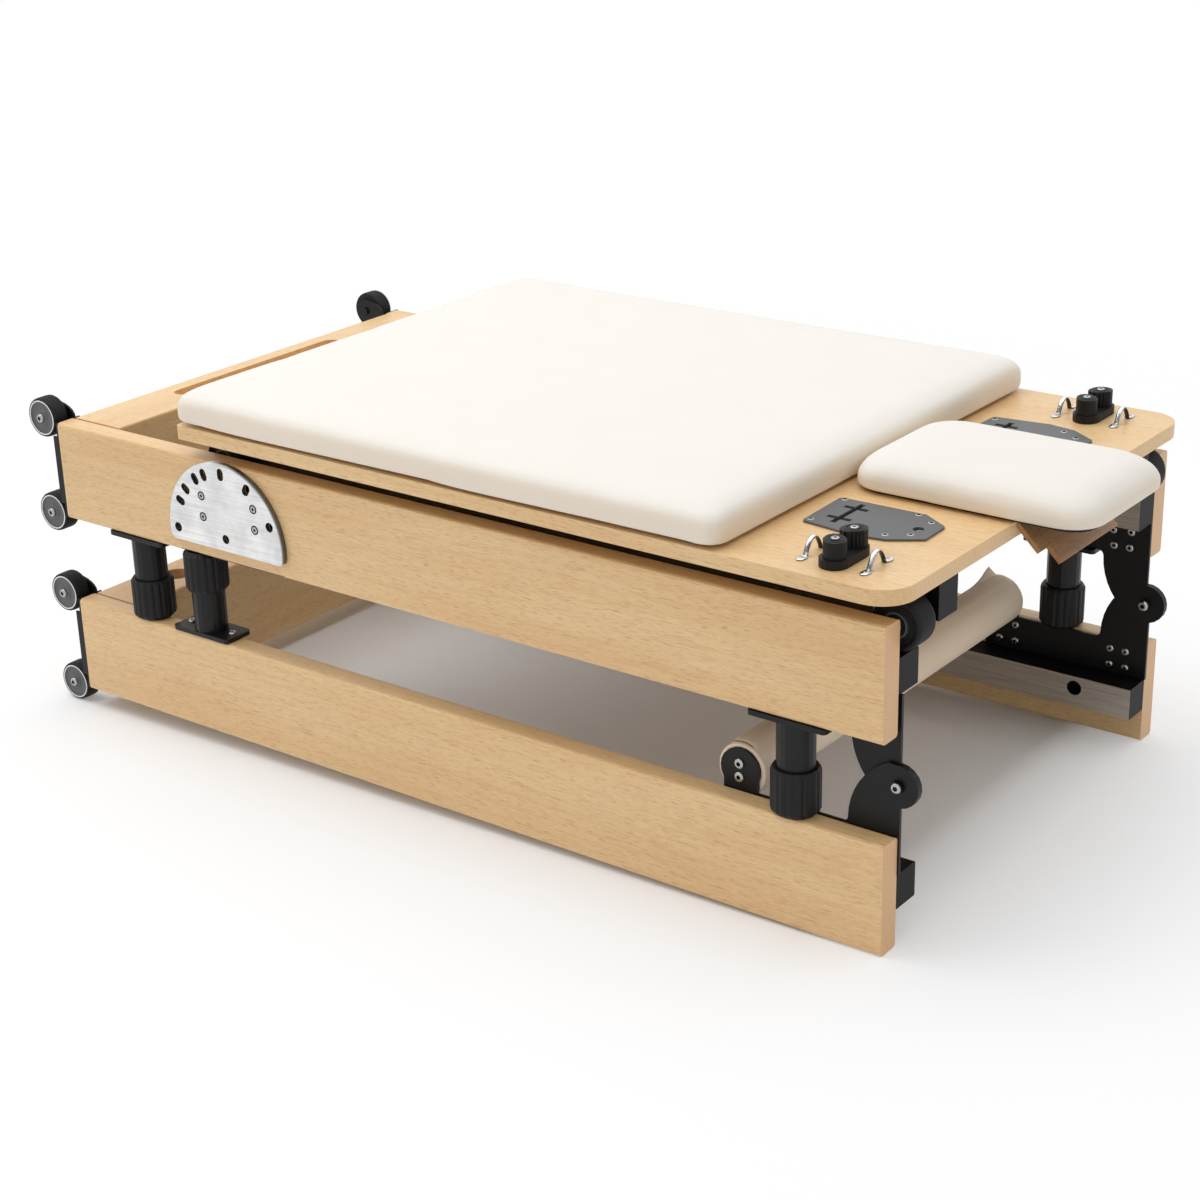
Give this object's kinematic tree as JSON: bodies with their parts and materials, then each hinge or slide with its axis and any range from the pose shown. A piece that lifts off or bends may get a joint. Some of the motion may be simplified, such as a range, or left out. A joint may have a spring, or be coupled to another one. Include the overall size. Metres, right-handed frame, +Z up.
{
  "type": "folding pilates reformer",
  "caption": "Wooden pilates reformer folded in half for storage: hinged rail frames on legs and wheels, with a sliding padded carriage and a tilting headrest.",
  "frame": {"origin": "centre of the bounding box's underside, on the floor", "axes": "+X towards the fold hinge and the headrest, +Y from the near rail to the far rail, +Z up; folded, the machine leans about 1.3 degrees down towards +X"},
  "size_m": [1.4474, 0.703, 0.5003],
  "materials": {
    "oak": "oiled pale oak with eased edges",
    "stained_wood": "dark stained plywood",
    "track_metal": "brushed running track with black outer faces",
    "underframe_tube": "black powder coat on square tube",
    "black_steel": "black powder coat on steel plate",
    "bright_steel": "bright brushed stainless plate",
    "grey_steel": "satin grey steel plate",
    "black_plastic": "moulded black plastic",
    "wheel_rubber": "black tread round a grey hub",
    "cream_leather": "smooth cream upholstery leather"
  },
  "bodies": {
    "foot_frame": {"foot_rail_near": "oak", "foot_rail_far": "oak", "foot_end_block": "oak", "foot_track_near": "track_metal", "foot_track_far": "track_metal", "foot_hinge_plate_near": "black_steel", "foot_hinge_plate_far": "black_steel", "foot_leg_end_near": "black_steel", "foot_leg_end_far": "black_steel", "foot_leg_hinge_near": "black_steel", "foot_leg_hinge_far": "black_steel", "foot_wheel_bracket_near": "black_steel", "foot_wheel_bracket_far": "black_steel", "footbar_plate_near": "bright_steel", "footbar_plate_far": "bright_steel"},
    "head_frame": {"head_rail_near": "oak", "head_rail_far": "oak", "head_end_block": "oak", "head_track_near": "track_metal", "head_track_far": "track_metal", "head_hinge_plate_near": "black_steel", "head_hinge_plate_far": "black_steel", "padded_bar": "cream_leather", "head_leg_near": "black_steel", "head_leg_far": "black_steel", "head_wheel_bracket_near": "black_steel", "head_wheel_bracket_far": "black_steel"},
    "carriage": {"carriage_board": "oak", "carriage_cushion": "cream_leather", "carriage_underframe": "underframe_tube", "shoulder_plate_near": "grey_steel", "shoulder_plate_far": "grey_steel", "cleat_base_near": "black_plastic", "cleat_base_far": "black_plastic"},
    "headrest": {"headrest_board": "stained_wood", "headrest_pad": "cream_leather"},
    "prop": {"headrest_prop": "stained_wood"},
    "carriage_wheel_foot_near": {"carriage_wheel_foot_near": "wheel_rubber"},
    "carriage_wheel_foot_far": {"carriage_wheel_foot_far": "wheel_rubber"},
    "carriage_wheel_head_near": {"carriage_wheel_head_near": "wheel_rubber"},
    "carriage_wheel_head_far": {"carriage_wheel_head_far": "wheel_rubber"},
    "foot_wheel_low_near": {"foot_wheel_low_near": "wheel_rubber"},
    "foot_wheel_low_far": {"foot_wheel_low_far": "wheel_rubber"},
    "foot_wheel_high_near": {"foot_wheel_high_near": "wheel_rubber"},
    "foot_wheel_high_far": {"foot_wheel_high_far": "wheel_rubber"},
    "head_wheel_low_near": {"head_wheel_low_near": "wheel_rubber"},
    "head_wheel_low_far": {"head_wheel_low_far": "wheel_rubber"},
    "head_wheel_high_near": {"head_wheel_high_near": "wheel_rubber"},
    "head_wheel_high_far": {"head_wheel_high_far": "wheel_rubber"},
    "foot_leveller_end_near": {"foot_leveller_end_near": "black_plastic"},
    "foot_leveller_end_far": {"foot_leveller_end_far": "black_plastic"},
    "foot_leveller_hinge_near": {"foot_leveller_hinge_near": "black_plastic"},
    "foot_leveller_hinge_far": {"foot_leveller_hinge_far": "black_plastic"},
    "head_leveller_near": {"head_leveller_near": "black_plastic"},
    "head_leveller_far": {"head_leveller_far": "black_plastic"},
    "cleat_cam_inner_near": {"cleat_cam_inner_near": "black_plastic"},
    "cleat_cam_outer_near": {"cleat_cam_outer_near": "black_plastic"},
    "cleat_cam_inner_far": {"cleat_cam_inner_far": "black_plastic"},
    "cleat_cam_outer_far": {"cleat_cam_outer_far": "black_plastic"}
  },
  "joints": [
    {"name": "fold_hinge", "type": "hinge", "parent": "foot_frame", "child": "head_frame", "pos_m": [0.61231, 0, 0.19299], "axis": [0, -1, 0], "range_deg": [0, 180]},
    {"name": "carriage_slide", "type": "slide", "parent": "foot_frame", "child": "carriage", "axis": [0.9998, 0, -0.0207], "range_m": [-0.145, 1.1]},
    {"name": "carriage_wheel_foot_near_roll", "type": "hinge", "parent": "carriage", "child": "carriage_wheel_foot_near", "pos_m": [-0.38449, -0.282, 0.39223], "axis": [0, 1, 0], "range_deg": [-300, 2090]},
    {"name": "carriage_wheel_foot_far_roll", "type": "hinge", "parent": "carriage", "child": "carriage_wheel_foot_far", "pos_m": [-0.38449, 0.282, 0.39223], "axis": [0, 1, 0], "range_deg": [-300, 2090]},
    {"name": "carriage_wheel_head_near_roll", "type": "hinge", "parent": "carriage", "child": "carriage_wheel_head_near", "pos_m": [0.6023, -0.282, 0.37183], "axis": [0, 1, 0], "range_deg": [-300, 2090]},
    {"name": "carriage_wheel_head_far_roll", "type": "hinge", "parent": "carriage", "child": "carriage_wheel_head_far", "pos_m": [0.6023, 0.282, 0.37183], "axis": [0, 1, 0], "range_deg": [-300, 2090]},
    {"name": "foot_wheel_low_near_spin", "type": "hinge", "parent": "foot_frame", "child": "foot_wheel_low_near", "pos_m": [-0.69449, -0.3235, 0.27901], "axis": [0, 1, 0], "continuous": true},
    {"name": "foot_wheel_low_far_spin", "type": "hinge", "parent": "foot_frame", "child": "foot_wheel_low_far", "pos_m": [-0.69449, 0.3235, 0.27901], "axis": [0, 1, 0], "continuous": true},
    {"name": "foot_wheel_high_near_spin", "type": "hinge", "parent": "foot_frame", "child": "foot_wheel_high_near", "pos_m": [-0.69172, -0.3235, 0.41298], "axis": [0, 1, 0], "continuous": true},
    {"name": "foot_wheel_high_far_spin", "type": "hinge", "parent": "foot_frame", "child": "foot_wheel_high_far", "pos_m": [-0.69172, 0.3235, 0.41298], "axis": [0, 1, 0], "continuous": true},
    {"name": "head_wheel_low_near_spin", "type": "hinge", "parent": "head_frame", "child": "head_wheel_low_near", "pos_m": [-0.6967, -0.3235, 0.027], "axis": [0, 1, 0], "continuous": true},
    {"name": "head_wheel_low_far_spin", "type": "hinge", "parent": "head_frame", "child": "head_wheel_low_far", "pos_m": [-0.6967, 0.3235, 0.027], "axis": [0, 1, 0], "continuous": true},
    {"name": "head_wheel_high_near_spin", "type": "hinge", "parent": "head_frame", "child": "head_wheel_high_near", "pos_m": [-0.69393, -0.3235, 0.16097], "axis": [0, 1, 0], "continuous": true},
    {"name": "head_wheel_high_far_spin", "type": "hinge", "parent": "head_frame", "child": "head_wheel_high_far", "pos_m": [-0.69393, 0.3235, 0.16097], "axis": [0, 1, 0], "continuous": true},
    {"name": "foot_leveller_end_near_screw", "type": "slide", "parent": "foot_frame", "child": "foot_leveller_end_near", "axis": [0.0207, 0, 0.9998], "range_m": [0, 0.01]},
    {"name": "foot_leveller_end_far_screw", "type": "slide", "parent": "foot_frame", "child": "foot_leveller_end_far", "axis": [0.0207, 0, 0.9998], "range_m": [0, 0.01]},
    {"name": "foot_leveller_hinge_near_screw", "type": "slide", "parent": "foot_frame", "child": "foot_leveller_hinge_near", "axis": [0.0207, 0, 0.9998], "range_m": [0, 0.01]},
    {"name": "foot_leveller_hinge_far_screw", "type": "slide", "parent": "foot_frame", "child": "foot_leveller_hinge_far", "axis": [0.0207, 0, 0.9998], "range_m": [0, 0.01]},
    {"name": "head_leveller_near_screw", "type": "slide", "parent": "head_frame", "child": "head_leveller_near", "axis": [-0.0207, 0, -0.9998], "range_m": [0, 0.01]},
    {"name": "head_leveller_far_screw", "type": "slide", "parent": "head_frame", "child": "head_leveller_far", "axis": [-0.0207, 0, -0.9998], "range_m": [0, 0.01]},
    {"name": "headrest_tilt", "type": "hinge", "parent": "carriage", "child": "headrest", "pos_m": [0.43101, 0, 0.43208], "axis": [0, -1, 0], "range_deg": [0, 18]},
    {"name": "prop_fold", "type": "hinge", "parent": "headrest", "child": "prop", "pos_m": [0.63296, 0, 0.42731], "axis": [0, 1, 0], "range_deg": [-44, 0]},
    {"name": "cleat_cam_inner_near_turn", "type": "hinge", "parent": "carriage", "child": "cleat_cam_inner_near", "pos_m": [0.53749, -0.27, 0.43958], "axis": [-0.0207, 0, -0.9998], "range_deg": [0, 30], "stiffness_Nm_per_rad": 0.02},
    {"name": "cleat_cam_outer_near_turn", "type": "hinge", "parent": "carriage", "child": "cleat_cam_outer_near", "pos_m": [0.53749, -0.312, 0.43958], "axis": [0.0207, 0, 0.9998], "range_deg": [0, 30], "stiffness_Nm_per_rad": 0.02},
    {"name": "cleat_cam_inner_far_turn", "type": "hinge", "parent": "carriage", "child": "cleat_cam_inner_far", "pos_m": [0.53749, 0.27, 0.43958], "axis": [0.0207, 0, 0.9998], "range_deg": [0, 30], "stiffness_Nm_per_rad": 0.02},
    {"name": "cleat_cam_outer_far_turn", "type": "hinge", "parent": "carriage", "child": "cleat_cam_outer_far", "pos_m": [0.53749, 0.312, 0.43958], "axis": [-0.0207, 0, -0.9998], "range_deg": [0, 30], "stiffness_Nm_per_rad": 0.02}
  ],
  "couplings": [
    {"joint": "carriage_wheel_foot_near_roll", "follows": "carriage_slide", "rad_per_m": 33.003},
    {"joint": "carriage_wheel_foot_far_roll", "follows": "carriage_slide", "rad_per_m": 33.003},
    {"joint": "carriage_wheel_head_near_roll", "follows": "carriage_slide", "rad_per_m": 33.003},
    {"joint": "carriage_wheel_head_far_roll", "follows": "carriage_slide", "rad_per_m": 33.003}
  ]
}
